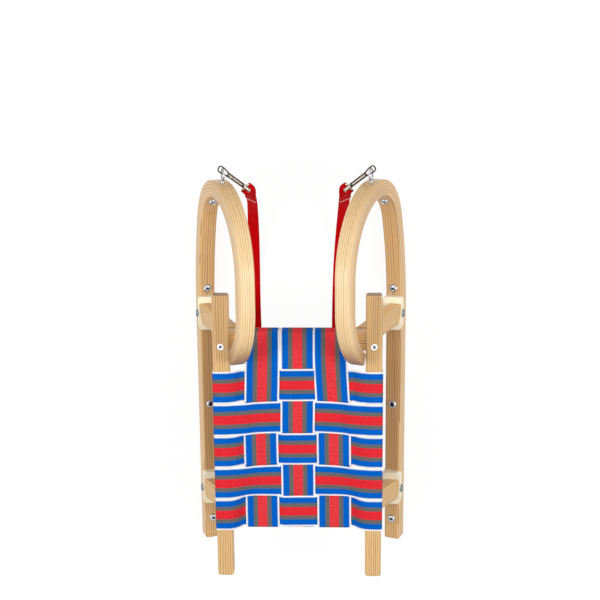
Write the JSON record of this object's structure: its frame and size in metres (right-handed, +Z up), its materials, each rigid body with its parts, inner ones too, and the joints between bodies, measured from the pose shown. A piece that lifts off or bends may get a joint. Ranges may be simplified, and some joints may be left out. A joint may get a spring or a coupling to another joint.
{
  "type": "wooden sled",
  "caption": "Child's wooden horn sled with bent runners that loop back as horns, splayed legs in plastic shoes, a woven webbing seat and a webbing pull strap.",
  "frame": {"origin": "on the floor below the middle of the sled, midway between the runners' rear ends and the eye bolts' fronts", "axes": "+Y forward to the horns, +X to the sled's right, +Z up"},
  "size_m": [0.3664, 0.696, 0.255],
  "materials": {
    "wood": "clear-varnished ash",
    "glide_steel": "plain steel strip",
    "zinc": "zinc plated",
    "shoe_plastic": "moulded satin",
    "seat_webbing": "woven, striped lengthwise",
    "pull_webbing": "woven"
  },
  "bodies": {
    "root": {"cross_strap_1": "seat_webbing", "cross_strap_2": "seat_webbing", "cross_strap_3": "seat_webbing", "cross_strap_4": "seat_webbing", "cross_strap_5": "seat_webbing", "eye_bolt_left": "zinc", "eye_bolt_right": "zinc", "front_cross_bolt_left": "zinc", "front_cross_bolt_right": "zinc", "front_crossbar": "wood", "front_leg_left": "wood", "front_leg_right": "wood", "front_shoe_left": "shoe_plastic", "front_shoe_right": "shoe_plastic", "glide_band_left": "glide_steel", "glide_band_right": "glide_steel", "long_strap_1": "seat_webbing", "long_strap_2": "seat_webbing", "long_strap_3": "seat_webbing", "pull_strap": "pull_webbing", "rail_screws_left": "zinc", "rail_screws_right": "zinc", "rear_cross_bolt_left": "zinc", "rear_cross_bolt_right": "zinc", "rear_crossbar": "wood", "rear_leg_left": "wood", "rear_leg_right": "wood", "rear_shoe_left": "shoe_plastic", "rear_shoe_right": "shoe_plastic", "runner_bolts_left": "zinc", "runner_bolts_right": "zinc", "runner_left": "wood", "runner_right": "wood", "seat_rail_left": "wood", "seat_rail_right": "wood", "snap_hook_left": "zinc", "snap_hook_right": "zinc"}
  },
  "joints": []
}
